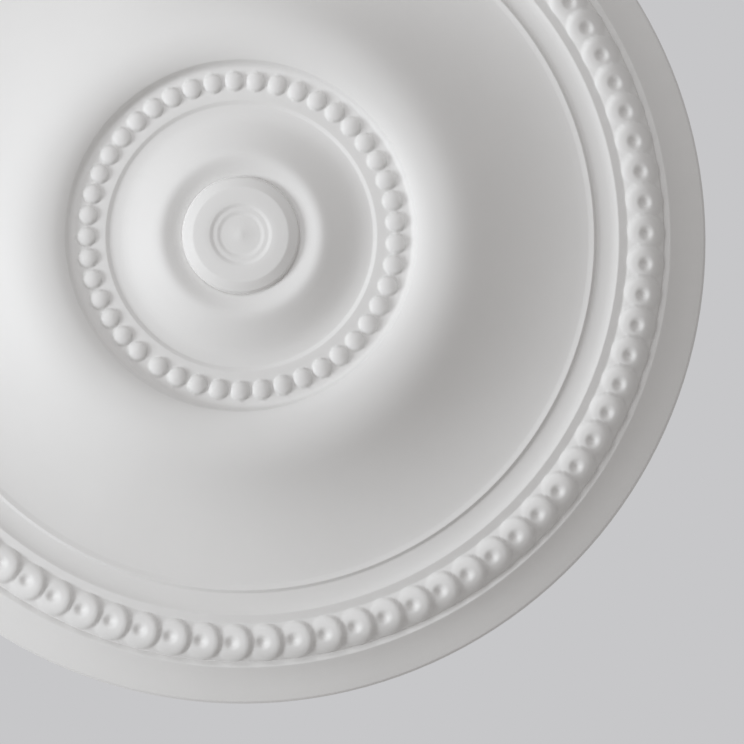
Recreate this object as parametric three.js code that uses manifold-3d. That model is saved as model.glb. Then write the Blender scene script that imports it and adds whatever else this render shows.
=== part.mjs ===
// A round moulded ceiling rose, in millimetres.
// The flat back lies in the plane z = 0 against the ceiling, +Z points up into the ceiling
// and the moulded face looks down along -Z.
import * as THREE from 'three';
import { mergeVertices } from 'three/addons/utils/BufferGeometryUtils.js';
import Module from 'manifold-3d';

// The turned body: radii from the axis, and drops measured down from the ceiling.
const roseRadius = 300;
const rimThickness = 4;
const bandFootRadius = 298.6;
const bandFootDrop = 5.6;
const bandTopRadius = 277.2;
const bandTopDrop = 16.4;
const outerFilletRadius = 272;
const outerFilletDrop = 17.6;
const innerFilletRadius = 247.6;
const innerFilletDrop = 25;
const arrisRadius = 241.4;
const arrisDrop = 26.3;
const lipFootRadius = 229.4;
const lipFootDrop = 24.2;
const lipRadius = 225;
const lipDrop = 26.9;
const bellFootRadius = 220.8;
const bellFootDrop = 26.3;
const bellMiddleRadius = 154.4;
const bellMiddleDrop = 50.6;
const bellCrestRadius = 126.2;
const bellCrestDrop = 60.4;
const wallTopRadius = 113.6;
const wallTopDrop = 56.4;
const channelOuterRadius = 107.6;
const channelOuterDrop = 51.2;
const channelInnerRadius = 86.4;
const channelInnerDrop = 51.2;
const ogeeFootRadius = 82.6;
const ogeeFootDrop = 49.3;
const ogeeMiddleRadius = 61;
const ogeeMiddleDrop = 56.4;
const ogeeCrestRadius = 49.2;
const ogeeCrestDrop = 60.8;
const bossFootRadius = 37.4;
const bossFootDrop = 59.5;
const bossTopRadius = 30.3;
const bossTopDrop = 63.8;
const bossRingRadius = 19.4;
const bossRingDrop = 64.2;
const dishRadius = 13.6;
const dishDrop = 62.7;
const bodySegments = 56;

// The ring of pearls: laid one after another from a join that is a little wider than the rest.
const pearlCount = 45;
const pearlPitch = THREE.MathUtils.degToRad(7.964);
const pearlJoinAngle = THREE.MathUtils.degToRad(131.9);
const pearlRingRadius = 98.2;
const pearlRadius = 6.75;
const pearlHeight = 3.5;
const pearlSegments = 8;

// The chain of overlapping discs: each has a round dimple and laps over its neighbour.
const discCount = 82;
const discStartAngle = THREE.MathUtils.degToRad(-31.5);
const discRingRadius = 259.7;
const discFaceDrop = 24.7;
const discRadius = 12.4;
const discFall = 2.2;
const dimpleRadius = 5;
const dimpleDepth = 1.8;
const discSlope = THREE.MathUtils.degToRad(15.5);
const discLap = THREE.MathUtils.degToRad(9);
const discSegments = 8;

// How far pearls and discs are sunk into the body below their own edges.
const sunkDepth = 4;

const wasm = await Module();
wasm.setup();

// Turns a closed three.js geometry into a solid that can be joined to others.
function solidFrom(geometry) {
  geometry.deleteAttribute('normal');
  geometry.deleteAttribute('uv');
  const merged = mergeVertices(geometry, 1e-4);
  const corners = merged.index.array;
  const kept = [];
  for (let i = 0; i < corners.length; i += 3) {
    const [a, b, c] = corners.slice(i, i + 3);
    if (a !== b && b !== c && c !== a) {
      kept.push(a, b, c);
    }
  }
  return new wasm.Manifold(new wasm.Mesh({
    numProp: 3,
    vertProperties: new Float32Array(merged.attributes.position.array),
    triVerts: new Uint32Array(kept),
  }));
}

// Adds a curve to a profile, from its last point to (radius, drop), with the slopes
// (drop per radius) it has at its start and its end.
function sweepTo(profile, radius, drop, startSlope, endSlope, steps) {
  const start = profile.at(-1).clone();
  const run = radius - start.x;
  for (let i = 1; i <= steps; i += 1) {
    const t = i / steps;
    const startShare = (1 + 2 * t) * (1 - t) ** 2;
    const endShare = t * t * (3 - 2 * t);
    const bend = t * (1 - t) * ((1 - t) * startSlope - t * endSlope) * run;
    const height = startShare * start.y - endShare * drop - bend;
    profile.push(new THREE.Vector2(start.x + t * run, height));
  }
}

function lineTo(profile, radius, drop) {
  profile.push(new THREE.Vector2(radius, -drop));
}

// The body is one profile turned about the axis, from the dish at the centre out to the rim.
function makeBody() {
  const profile = [new THREE.Vector2(0, -dishDrop)];
  lineTo(profile, dishRadius, dishDrop);
  lineTo(profile, bossRingRadius, bossRingDrop);
  lineTo(profile, bossTopRadius, bossTopDrop);
  lineTo(profile, bossFootRadius, bossFootDrop);
  lineTo(profile, ogeeCrestRadius, ogeeCrestDrop);
  sweepTo(profile, ogeeMiddleRadius, ogeeMiddleDrop, 0, -0.53, 2);
  sweepTo(profile, ogeeFootRadius, ogeeFootDrop, -0.53, 0, 2);
  lineTo(profile, channelInnerRadius, channelInnerDrop);
  lineTo(profile, channelOuterRadius, channelOuterDrop);
  lineTo(profile, wallTopRadius, wallTopDrop);
  sweepTo(profile, bellCrestRadius, bellCrestDrop, 0.5, 0, 2);
  sweepTo(profile, bellMiddleRadius, bellMiddleDrop, 0, -0.56, 3);
  sweepTo(profile, bellFootRadius, bellFootDrop, -0.56, -0.15, 3);
  lineTo(profile, lipRadius, lipDrop);
  lineTo(profile, lipFootRadius, lipFootDrop);
  sweepTo(profile, arrisRadius, arrisDrop, 0, 0.36, 2);
  lineTo(profile, innerFilletRadius, innerFilletDrop);
  lineTo(profile, outerFilletRadius, outerFilletDrop);
  lineTo(profile, bandTopRadius, bandTopDrop);
  sweepTo(profile, bandFootRadius, bandFootDrop, -0.58, -0.42, 2);
  lineTo(profile, roseRadius, rimThickness);
  lineTo(profile, roseRadius, 0);
  lineTo(profile, 0, 0);
  const geometry = new THREE.LatheGeometry(profile, bodySegments);
  geometry.rotateX(Math.PI / 2);
  return solidFrom(geometry);
}

// One pearl is a low round cap that rises from the floor of its channel.
function makePearl(index) {
  const profile = [
    new THREE.Vector2(0, -pearlHeight),
    new THREE.Vector2(pearlRadius * 0.56, -pearlHeight * 0.76),
    new THREE.Vector2(pearlRadius, 0),
    new THREE.Vector2(0, sunkDepth),
  ];
  const geometry = new THREE.LatheGeometry(profile, pearlSegments);
  geometry.rotateX(Math.PI / 2);
  geometry.translate(pearlRingRadius, 0, -channelOuterDrop);
  geometry.rotateZ(pearlJoinAngle + index * pearlPitch);
  return solidFrom(geometry);
}

// One disc is a domed button with a dimple, leaning outward with the slope of the moulding
// and tipped up along the ring so that it laps over its neighbour.
function makeDisc(index) {
  const profile = [
    new THREE.Vector2(0, dimpleDepth),
    new THREE.Vector2(dimpleRadius, 0),
    new THREE.Vector2(discRadius, discFall),
    new THREE.Vector2(0, discFall + sunkDepth),
  ];
  const geometry = new THREE.LatheGeometry(profile, discSegments);
  geometry.rotateX(Math.PI / 2);
  geometry.rotateX(discLap);
  geometry.rotateY(-discSlope);
  geometry.translate(discRingRadius, 0, -discFaceDrop);
  geometry.rotateZ(discStartAngle + index * 2 * Math.PI / discCount);
  return solidFrom(geometry);
}

let rose = makeBody();
for (let i = 0; i < pearlCount; i += 1) {
  rose = rose.add(makePearl(i));
}
for (let i = 0; i < discCount; i += 1) {
  rose = rose.add(makeDisc(i));
}

const mesh = rose.getMesh();
const roseGeometry = new THREE.BufferGeometry();
roseGeometry.setAttribute('position', new THREE.BufferAttribute(mesh.vertProperties, 3));
roseGeometry.setIndex(new THREE.BufferAttribute(mesh.triVerts, 1));
roseGeometry.computeVertexNormals();

const moulded = new THREE.MeshStandardMaterial({ color: 0xe9e7e4, roughness: 0.62, metalness: 0 });
const roseMesh = new THREE.Mesh(roseGeometry, moulded);
roseMesh.name = 'ceiling_rose';

const group = new THREE.Group();
group.name = 'ceiling_rose';
group.add(roseMesh);

export default group;
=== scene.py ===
# %% [markdown]
# # A moulded ceiling rose
# A ceiling rose is a round ornament that is fixed flat to a ceiling, often around the cable of a hanging
# light. This one is cast in one piece in an open mould: a stepped boss in the middle, an ogee, a ring of
# pearls, a wide bell-shaped sweep and, near the rim, a chain of discs that lap over each other.
# We first load the solid that gives the size and the place. Its flat back lies at z = 0 against the
# ceiling, and its face looks down.

# %% Load the frame
import math

import bpy
import numpy as np
from mathutils import Matrix, Vector


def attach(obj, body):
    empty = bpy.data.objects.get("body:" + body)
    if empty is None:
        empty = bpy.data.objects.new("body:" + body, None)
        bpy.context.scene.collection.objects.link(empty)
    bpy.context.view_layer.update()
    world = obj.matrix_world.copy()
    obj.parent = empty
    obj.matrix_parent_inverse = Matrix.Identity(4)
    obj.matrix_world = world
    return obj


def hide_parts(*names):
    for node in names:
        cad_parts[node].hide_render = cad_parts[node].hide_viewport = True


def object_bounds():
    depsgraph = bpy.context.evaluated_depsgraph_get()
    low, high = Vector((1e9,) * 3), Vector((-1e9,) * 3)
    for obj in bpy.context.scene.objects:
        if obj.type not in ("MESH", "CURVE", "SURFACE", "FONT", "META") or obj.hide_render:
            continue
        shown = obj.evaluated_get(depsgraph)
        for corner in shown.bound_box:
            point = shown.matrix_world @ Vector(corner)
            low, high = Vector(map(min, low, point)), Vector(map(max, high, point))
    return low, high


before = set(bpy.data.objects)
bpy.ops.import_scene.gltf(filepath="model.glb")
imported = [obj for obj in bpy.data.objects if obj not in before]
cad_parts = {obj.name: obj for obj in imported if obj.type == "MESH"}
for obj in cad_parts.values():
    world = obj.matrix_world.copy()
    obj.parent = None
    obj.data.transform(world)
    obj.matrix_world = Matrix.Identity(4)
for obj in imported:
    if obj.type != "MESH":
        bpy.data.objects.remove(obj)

solid_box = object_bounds()
corners = [tuple(round(c, 4) for c in corner) for corner in solid_box]
print("solid rose, lowest and highest corner:", corners)

# %% [markdown]
# ## The turned profile
# Plasterers made such a face by turning a metal template about the centre. The template is a list of
# mouldings, and each one is either a straight line or a curve with a known slope at both ends. A cubic
# with two end slopes is enough for every cove, ogee and bell here, so one small helper draws them all.
# Radii go out from the axis and drops go down from the ceiling, both in millimetres.

# %% Draw the template from the centre to the rim
STEP = 0.2


def line_to(template, radius, drop):
    start_radius, start_drop = template[-1]
    count = max(1, round(math.hypot(radius - start_radius, drop - start_drop) / STEP))
    for t in np.arange(1, count + 1) / count:
        template.append((start_radius + t * (radius - start_radius), start_drop + t * (drop - start_drop)))


def sweep_to(template, radius, drop, start_slope, end_slope):
    start_radius, start_drop = template[-1]
    run = radius - start_radius
    for t in np.arange(1, round(run / STEP) + 1) / round(run / STEP):
        blend = t * t * (3 - 2 * t)
        bend = t * (1 - t) * ((1 - t) * start_slope - t * end_slope) * run
        template.append((start_radius + t * run, start_drop + blend * (drop - start_drop) + bend))


# The boss, with a stepped dish in it.
template = [(0.0, 63.15)]
sweep_to(template, 5.8, 62.4, 0, 0)
line_to(template, 12.9, 62.35)
line_to(template, 15.0, 63.15)
line_to(template, 17.5, 63.1)
line_to(template, 19.8, 64.2)
sweep_to(template, 30.3, 63.8, 0, -0.08)
line_to(template, 36.2, 60.6)
line_to(template, 37.4, 56.6)
# The ogee, from the crease at the foot of the boss.
line_to(template, 38.3, 57.3)
sweep_to(template, 50.4, 60.8, 0.1, 0)
sweep_to(template, 59.4, 57.45, 0, -0.53)
sweep_to(template, 80.4, 49.1, -0.53, 0)
# The channel for the pearls and its outer wall.
line_to(template, 83.8, 49.1)
line_to(template, 86.4, 50.7)
line_to(template, 107.2, 50.1)
sweep_to(template, 110.6, 52.4, 0, 1.6)
line_to(template, 111.8, 55.9)
# The bell, up to its crest and down to its foot.
sweep_to(template, 127.2, 60.1, 0.7, 0)
sweep_to(template, 153.5, 51.0, 0, -0.645)
sweep_to(template, 222.4, 25.8, -0.645, -0.09)
# The lip, the cove and its arris.
sweep_to(template, 226.2, 26.5, 0.06, 0.15)
line_to(template, 227.9, 24.5)
sweep_to(template, 233.4, 24.1, -0.12, 0)
sweep_to(template, 242.0, 26.1, 0, 0.6)
# The roll under the discs, between two fillets.
line_to(template, 247.9, 24.6)
sweep_to(template, 254.5, 25.7, 0.4, 0)
sweep_to(template, 271.4, 18.3, 0, -0.85)
line_to(template, 272.0, 16.5)
line_to(template, 276.0, 17.2)
# The outer band, the rim and the flat back.
sweep_to(template, 298.6, 5.2, -0.85, -0.38)
line_to(template, 300.0, 2.7)
line_to(template, 300.0, 0.0)
line_to(template, 4.0, 0.0)
print("template:", len(template), "points, drop", round(max(d for r, d in template), 2), "mm")

# %% [markdown]
# ## Softened edges
# A moulding that has been cast, rubbed down and primed has no knife edges. Sliding a short average
# along the template rounds every corner by about the same amount, as a coat of primer does, and leaves
# the long curves as they are.

# %% Round the corners of the template
SOFTEN = 0.55
soften_steps = round(SOFTEN / STEP)
points = np.array(template)
mirrored = points[soften_steps:0:-1] * [-1, 1]
padded = np.vstack([mirrored, points, np.repeat(points[-1:], soften_steps, axis=0)])
window = np.hanning(2 * soften_steps + 3)[1:-1]
window /= window.sum()
soft = np.column_stack([np.convolve(padded[:, axis], window, mode="valid") for axis in (0, 1)])
profile_radius, profile_drop = soft[:, 0], soft[:, 1]
lengths = np.hypot(np.diff(profile_radius), np.diff(profile_drop))
profile_length = np.concatenate([[0], np.cumsum(lengths)])
print("softened profile:", round(profile_length[-1], 1), "mm long")

# %% [markdown]
# ## The ring of pearls
# An open mould lets go of the casting only if nothing is undercut, so every spot of the face has exactly
# one drop. That makes relief easy: a pearl is a function that says how far down its surface is at a given
# spot, and the lowest of all surfaces is what shows. Each pearl is a shallow cap on a low upright edge.
# They were pressed one after another, so the ring closes with one gap that is a little wider.

# %% Pearls as drops
PEARL_COUNT = 45
PEARL_PITCH = math.radians(7.964)
PEARL_JOIN = math.radians(131.9)
PEARL_RING = 98.6
PEARL_RADIUS = 5.75
PEARL_BALL = 9.5
PEARL_EDGE = 1.7
PEARL_SKIRT = 5
CREASE = 0.35


def lower_of(first, second):
    return (first + second + np.sqrt((first - second) ** 2 + CREASE ** 2) - CREASE) / 2


def pearl_drop(radius, angle, ground):
    turn = np.mod(angle - PEARL_JOIN, 2 * math.pi)
    nearest = np.clip(np.round(turn / PEARL_PITCH), 0, PEARL_COUNT)
    centre = np.where(nearest == PEARL_COUNT, 2 * math.pi, nearest * PEARL_PITCH)
    along = (turn - centre) * PEARL_RING
    across = radius - PEARL_RING
    distance = np.hypot(along, across)
    rim = math.sqrt(PEARL_BALL ** 2 - PEARL_RADIUS ** 2)
    dome = np.sqrt(PEARL_BALL ** 2 - np.minimum(distance, PEARL_RADIUS) ** 2) - rim
    cap = PEARL_EDGE + dome - PEARL_SKIRT * np.maximum(distance - PEARL_RADIUS, 0)
    return ground + cap


print("pearl pitch along the ring:", round(PEARL_RING * PEARL_PITCH, 2), "mm")

# %% [markdown]
# ## The chain of discs
# Near the rim runs a row of discs, each with a round dimple. They lie like scales over a half-round roll,
# and each one is tipped so that one edge stands proud and laps over its neighbour. Taking the lowest of
# the three nearest discs at each spot makes the laps by itself. The dimples are pressed in last.

# %% Discs as drops
DISC_COUNT = 82
DISC_START = math.radians(-31.5)
DISC_RING = 259.7
DISC_TOP = 27.2
DISC_RADIUS = 12.5
DISC_EDGE = 5.0
DISC_EDGE_FALL = 2.3
DISC_SKIRT = 4
DISC_LAP = math.tan(math.radians(9.5))
ROLL_RING = 255.5
ROLL_RADIUS = 21.4
DIMPLE_RADIUS = 5.4
DIMPLE_DEPTH = 2.9


def disc_drop(radius, angle, ground):
    pitch = 2 * math.pi / DISC_COUNT
    nearest = np.round((angle - DISC_START) / pitch)
    result = ground
    across = radius - DISC_RING
    roll = ROLL_RADIUS - np.sqrt(ROLL_RADIUS ** 2 - (radius - ROLL_RING) ** 2)
    for neighbour in (1, 0, -1):
        along = (angle - DISC_START - (nearest + neighbour) * pitch) * DISC_RING
        distance = np.hypot(along, across)
        edge = np.clip((distance - DISC_RADIUS + DISC_EDGE) / DISC_EDGE, 0, 1)
        rounding = DISC_EDGE_FALL * (1 - np.sqrt(1 - edge ** 2))
        beyond = DISC_SKIRT * np.maximum(distance - DISC_RADIUS, 0)
        result = lower_of(result, DISC_TOP - roll - DISC_LAP * along - rounding - beyond)
    along = (angle - DISC_START - nearest * pitch) * DISC_RING
    share = np.minimum(np.hypot(along, across) / DIMPLE_RADIUS, 1)
    return result - DIMPLE_DEPTH * np.cos(share * math.pi / 2) ** 2


print("disc pitch along the ring:", round(2 * math.pi * DISC_RING / DISC_COUNT, 2), "mm")

# %% [markdown]
# ## Rows and columns
# The surface is a polar grid. The plain mouldings need few columns, because they are round all the way,
# and rows only where the profile bends. The two ornament rings need small squares. So each ring of
# vertices gets its own number of columns, always a multiple of the plain number, and where two numbers
# meet, a strip of many-cornered faces joins them on a plain fillet.

# %% Choose the rows
PLAIN_COLUMNS = 164
PEARL_COLUMNS = PLAIN_COLUMNS * 5
DISC_COLUMNS = PLAIN_COLUMNS * 8
PEARL_ZONE = (91.2, 105.2)
DISC_ZONE = (247.0, 272.8)
PLAIN_WIDEST = 12
PEARL_WIDEST = 0.75
DISC_WIDEST = 1.2
BACK_WIDEST = 20
ROWS_AT_BEND = 2
ROWS_NEAR_BEND = 3.4
NEARBY_STEPS = 8
tangent = np.unwrap(np.arctan2(np.gradient(profile_drop), np.gradient(profile_radius)))
curvature = np.abs(np.gradient(tangent) / np.gradient(profile_length))
nearby = np.hanning(2 * NEARBY_STEPS + 1) / NEARBY_STEPS
curvature_nearby = np.convolve(curvature, nearby, mode="same")


def rows_between(start_length, end_length, widest):
    density = 1 / widest + ROWS_AT_BEND * curvature + ROWS_NEAR_BEND * curvature_nearby
    total = np.concatenate([[0], np.cumsum(lengths * (density[1:] + density[:-1]) / 2)])
    low, high = np.interp([start_length, end_length], profile_length, total)
    return np.interp(np.linspace(low, high, round(high - low) + 1), total, profile_length)


face_points = int(np.argmax(profile_radius)) + 1
marks = np.interp([*PEARL_ZONE, *DISC_ZONE], profile_radius[:face_points], profile_length[:face_points])
rows = [(spot, PLAIN_COLUMNS) for spot in rows_between(0, marks[0], PLAIN_WIDEST)[1:-1]]
rows += [(spot, PEARL_COLUMNS) for spot in rows_between(marks[0], marks[1], PEARL_WIDEST)]
rows += [(spot, PLAIN_COLUMNS) for spot in rows_between(marks[1], marks[2], PLAIN_WIDEST)[1:-1]]
rows += [(spot, DISC_COLUMNS) for spot in rows_between(marks[2], marks[3], DISC_WIDEST)]
rows += [(spot, PLAIN_COLUMNS) for spot in rows_between(marks[3], profile_length[-1], BACK_WIDEST)[1:]]
print("rows of vertices:", len(rows))

# %% [markdown]
# Now the grid is filled in: every vertex takes its radius and drop from the profile, and inside the two
# ornament zones the pearls and discs push it further down. The back is closed with a few flat rings, so
# the result is one watertight mesh, as the casting is one piece.

# %% Build the casting
MM = 0.001
rings = []
vertices = []
for spot, columns in rows:
    angle = np.arange(columns) * 2 * math.pi / columns
    radius = np.full(columns, np.interp(spot, profile_length, profile_radius))
    drop = np.full(columns, np.interp(spot, profile_length, profile_drop))
    if columns == PEARL_COLUMNS:
        drop = lower_of(drop, pearl_drop(radius, angle, drop))
    if columns == DISC_COLUMNS:
        drop = disc_drop(radius, angle, drop)
    rings.append((sum(len(block) for block in vertices), columns))
    vertices.append(np.column_stack([radius * np.cos(angle), radius * np.sin(angle), -drop]) * MM)
face_centre = sum(len(block) for block in vertices)
back_centre = face_centre + 1
vertices.append(np.array([[0, 0, -profile_drop[0]], [0, 0, 0]]) * MM)

faces = []
first = rings[0]
faces += [(face_centre, first[0] + (i + 1) % first[1], first[0] + i) for i in range(first[1])]
for (inner, inner_columns), (outer, outer_columns) in zip(rings, rings[1:]):
    shared = min(inner_columns, outer_columns)
    inner_step, outer_step = inner_columns // shared, outer_columns // shared
    for i in range(shared):
        inner_run = [inner + (i * inner_step + k) % inner_columns for k in range(inner_step + 1)]
        outer_run = [outer + (i * outer_step + k) % outer_columns for k in range(outer_step + 1)]
        faces.append(tuple(inner_run + outer_run[::-1]))
last = rings[-1]
faces += [(back_centre, last[0] + i, last[0] + (i + 1) % last[1]) for i in range(last[1])]

mesh = bpy.data.meshes.new("moulded_rose")
mesh.from_pydata(np.vstack(vertices).tolist(), [], faces)
mesh.validate()
mesh.update()
mesh.polygons.foreach_set("use_smooth", [True] * len(mesh.polygons))
rose = bpy.data.objects.new("moulded_rose", mesh)
bpy.context.scene.collection.objects.link(rose)
triangles = sum(len(p.vertices) - 2 for p in mesh.polygons)
print("casting:", len(mesh.vertices), "vertices,", triangles, "triangles")

# %% [markdown]
# ## A shared grain
# Both finishes on the rose are the same primed white, so they share one effect: a faint cloudiness in the
# tone and a fine grain in the surface. As a node group it is made once, and each material feeds it its
# own scale.

# %% The grain group
grain = bpy.data.node_groups.new("primer_grain", "ShaderNodeTree")
grain.interface.new_socket("Scale", in_out="INPUT", socket_type="NodeSocketFloat")
grain.interface.new_socket("Cloud", in_out="OUTPUT", socket_type="NodeSocketFloat")
grain.interface.new_socket("Grain", in_out="OUTPUT", socket_type="NodeSocketFloat")
inputs = grain.nodes.new("NodeGroupInput")
outputs = grain.nodes.new("NodeGroupOutput")
place = grain.nodes.new("ShaderNodeTexCoord")
stretch = grain.nodes.new("ShaderNodeVectorMath")
stretch.operation = "SCALE"
grain.links.new(place.outputs["Object"], stretch.inputs[0])
grain.links.new(inputs.outputs["Scale"], stretch.inputs["Scale"])
cloud = grain.nodes.new("ShaderNodeTexNoise")
cloud.inputs["Scale"].default_value = 9.0
cloud.inputs["Detail"].default_value = 4.0
cloud.inputs["Roughness"].default_value = 0.55
fine = grain.nodes.new("ShaderNodeTexNoise")
fine.inputs["Scale"].default_value = 700.0
fine.inputs["Detail"].default_value = 3.0
fine.inputs["Roughness"].default_value = 0.6
for texture, name in ((cloud, "Cloud"), (fine, "Grain")):
    grain.links.new(stretch.outputs["Vector"], texture.inputs["Vector"])
    grain.links.new(texture.outputs["Fac"], outputs.inputs[name])
print("grain group outputs:", [s.name for s in grain.interface.items_tree if s.in_out == "OUTPUT"])

# %% [markdown]
# ## The finishes
# The face is factory-primed white with a soft eggshell sheen. The grain moves its tone by a hair, makes
# the sheen slightly uneven and roughens the surface. The back is the struck side of the mould: the same
# white, drier and less even, with faint drag lines left by the straight edge that levelled it.

# %% Make the two finishes
def primed_finish(name, dark, light, scale, roughness, depth):
    material = bpy.data.materials.new(name)
    material.use_nodes = True
    nodes, links = material.node_tree.nodes, material.node_tree.links
    shader = nodes["Principled BSDF"]
    shader.inputs["Specular IOR Level"].default_value = 0.35
    effect = nodes.new("ShaderNodeGroup")
    effect.node_tree = grain
    effect.inputs["Scale"].default_value = scale
    tone = nodes.new("ShaderNodeValToRGB")
    tone.color_ramp.elements[0].position = 0.3
    tone.color_ramp.elements[0].color = (*dark, 1)
    tone.color_ramp.elements[1].position = 0.7
    tone.color_ramp.elements[1].color = (*light, 1)
    sheen = nodes.new("ShaderNodeMapRange")
    sheen.inputs["To Min"].default_value = roughness[0]
    sheen.inputs["To Max"].default_value = roughness[1]
    bump = nodes.new("ShaderNodeBump")
    bump.inputs["Strength"].default_value = 0.35
    bump.inputs["Distance"].default_value = depth
    links.new(effect.outputs["Cloud"], tone.inputs["Fac"])
    links.new(effect.outputs["Cloud"], sheen.inputs["Value"])
    links.new(effect.outputs["Grain"], bump.inputs["Height"])
    links.new(tone.outputs["Color"], shader.inputs["Base Color"])
    links.new(sheen.outputs["Result"], shader.inputs["Roughness"])
    links.new(bump.outputs["Normal"], shader.inputs["Normal"])
    return material


face_finish = primed_finish(
    "primed_white", dark=(0.79, 0.785, 0.775), light=(0.82, 0.815, 0.805),
    scale=1.0, roughness=(0.5, 0.62), depth=0.00012)
back_finish = primed_finish(
    "struck_back", dark=(0.77, 0.755, 0.73), light=(0.84, 0.83, 0.81),
    scale=2.0, roughness=(0.7, 0.9), depth=0.0004)
print("finishes:", face_finish.name, "and", back_finish.name)

# %% [markdown]
# ## Drag lines on the back
# The straight edge that levels the back leaves long, slightly wavy lines. A wave texture with some
# distortion draws them. It darkens the tone by a hair through a mix node, and it tilts the surface through
# a second bump, which starts from the normal that the grain has already moved. A mix node has sockets of
# the same name for values and for colours, so the colour ones are picked by their number.

# %% Drag the straight edge over the back
MIX_FIRST, MIX_SECOND, MIX_RESULT = 6, 7, 2


def add_drag_lines(material):
    nodes, links = material.node_tree.nodes, material.node_tree.links
    shader = nodes["Principled BSDF"]
    over_back = nodes.new("ShaderNodeTexCoord")
    drag = nodes.new("ShaderNodeTexWave")
    drag.inputs["Scale"].default_value = 22.0
    drag.inputs["Distortion"].default_value = 6.0
    drag.inputs["Detail"].default_value = 3.0
    drag.inputs["Detail Scale"].default_value = 0.6
    streak = nodes.new("ShaderNodeMix")
    streak.data_type = "RGBA"
    streak.blend_type = "MULTIPLY"
    streak.inputs["Factor"].default_value = 0.06
    dragged = nodes.new("ShaderNodeBump")
    dragged.inputs["Strength"].default_value = 0.3
    dragged.inputs["Distance"].default_value = 0.0006
    links.new(over_back.outputs["Object"], drag.inputs["Vector"])
    links.new(nodes["Color Ramp"].outputs["Color"], streak.inputs[MIX_FIRST])
    links.new(drag.outputs["Color"], streak.inputs[MIX_SECOND])
    links.new(streak.outputs[MIX_RESULT], shader.inputs["Base Color"])
    links.new(drag.outputs["Fac"], dragged.inputs["Height"])
    links.new(nodes["Bump"].outputs["Normal"], dragged.inputs["Normal"])
    links.new(dragged.outputs["Normal"], shader.inputs["Normal"])


add_drag_lines(back_finish)
print("nodes in the back's finish:", len(back_finish.node_tree.nodes))

# %% [markdown]
# One casting carries both finishes. Each face of a mesh has a material index, so the faces that lie flat
# against the ceiling get the back's finish and all others keep the face's.

# %% Share out the finishes
AT_CEILING = 1e-5
FACING_UP = 0.9
for finish in (face_finish, back_finish):
    mesh.materials.append(finish)
back_faces = [abs(p.center.z) < AT_CEILING and p.normal.z > FACING_UP for p in mesh.polygons]
mesh.polygons.foreach_set("material_index", [int(b) for b in back_faces])
print("faces on the struck back:", sum(back_faces))

# %% [markdown]
# ## In place of the solid
# The casting rides on the one body the rose has, and the plain solid is no longer shown.

# %% Put the casting in place of the solid
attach(rose, "root")
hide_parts("ceiling_rose")
print(rose.name, "stands in for the solid")

# %% [markdown]
# ## The room
# The rose hangs under a ceiling, so the camera looks up at it from the floor of a room. A pale floor far
# below throws soft light back up. The surround is palest overhead and a little darker and warmer towards
# the walls, so slopes that face sideways fall off gently.

# %% Floor and surround
ROOM_HEIGHT = 2.75
FLOOR_SIZE = 40
bpy.ops.mesh.primitive_plane_add(size=FLOOR_SIZE, location=(0, 0, -ROOM_HEIGHT))
floor = bpy.context.object
floor.name = "pale_floor"
floor_paint = bpy.data.materials.new("floor_paint")
floor_paint.use_nodes = True
paint = floor_paint.node_tree.nodes["Principled BSDF"]
paint.inputs["Base Color"].default_value = (0.655, 0.637, 0.618, 1)
paint.inputs["Roughness"].default_value = 0.9
floor.data.materials.append(floor_paint)

surround = bpy.data.worlds.new("pale_surround")
surround.use_nodes = True
room = surround.node_tree
towards = room.nodes.new("ShaderNodeTexCoord")
split = room.nodes.new("ShaderNodeSeparateXYZ")
shade = room.nodes.new("ShaderNodeValToRGB")
shade.color_ramp.interpolation = "EASE"
shade.color_ramp.elements[0].color = (0.4, 0.392, 0.385, 1)
shade.color_ramp.elements[1].position = 0.8
shade.color_ramp.elements[1].color = (0.571, 0.571, 0.584, 1)
room.links.new(towards.outputs["Generated"], split.inputs["Vector"])
room.links.new(split.outputs["Z"], shade.inputs["Fac"])
room.links.new(shade.outputs["Color"], room.nodes["Background"].inputs["Color"])
bpy.context.scene.world = surround
bpy.context.scene.view_settings.view_transform = "Standard"
print("floor", ROOM_HEIGHT, "m below the ceiling")

# %% [markdown]
# ## The lights
# One large soft light stands low on the left, a little towards the bottom of the picture, so slopes that
# face left are bright and slopes that face right fall into a gentle shade. That is what makes the relief
# readable. A small one close in front of the upper part lifts it a little more than the lower part.

# %% Place the lights
AIM = Vector((0.07, 0.07, 0))


def soft_light(name, location, size, power, colour):
    data = bpy.data.lights.new(name, "AREA")
    data.shape = "DISK"
    data.size = size
    data.energy = power
    data.color = colour
    light = bpy.data.objects.new(name, data)
    bpy.context.scene.collection.objects.link(light)
    light.location = location
    light.rotation_euler = (AIM - light.location).to_track_quat("-Z", "Y").to_euler()
    print(name, "stands", round((AIM - light.location).length, 2), "m away")


soft_light("key_light", (-3.45, 0.7, -1.68), size=1.5, power=82.0, colour=(0.935, 0.967, 1.0))
soft_light("front_fill", (-0.2, -0.58, -0.8), size=0.4, power=2.0, colour=(0.95, 0.97, 1.0))

# %% [markdown]
# ## The camera
# The view is almost straight up, a few degrees off the axis, with a long lens, and the frame holds the
# lower right part of the rose. Looking up with the right-hand side towards +X, the top of the picture
# points towards -Y.

# %% Place the camera
LENS = 186.5
SENSOR_WIDTH = 36
STAND = Vector((0.0673, 0.151, -2.5))
LOOK_AT = Vector((0.08347, 0.08536, 0))
camera_data = bpy.data.cameras.new("camera")
camera_data.lens = LENS
camera_data.sensor_width = SENSOR_WIDTH
camera = bpy.data.objects.new("camera", camera_data)
bpy.context.scene.collection.objects.link(camera)
view = (LOOK_AT - STAND).normalized()
right = Vector((0, 1, 0)).cross(view).normalized()
up = right.cross(view)
camera.matrix_world = Matrix.Translation(STAND) @ Matrix((right, up, -view)).transposed().to_4x4()
bpy.context.scene.camera = camera
print("camera looks along", [round(c, 3) for c in view])
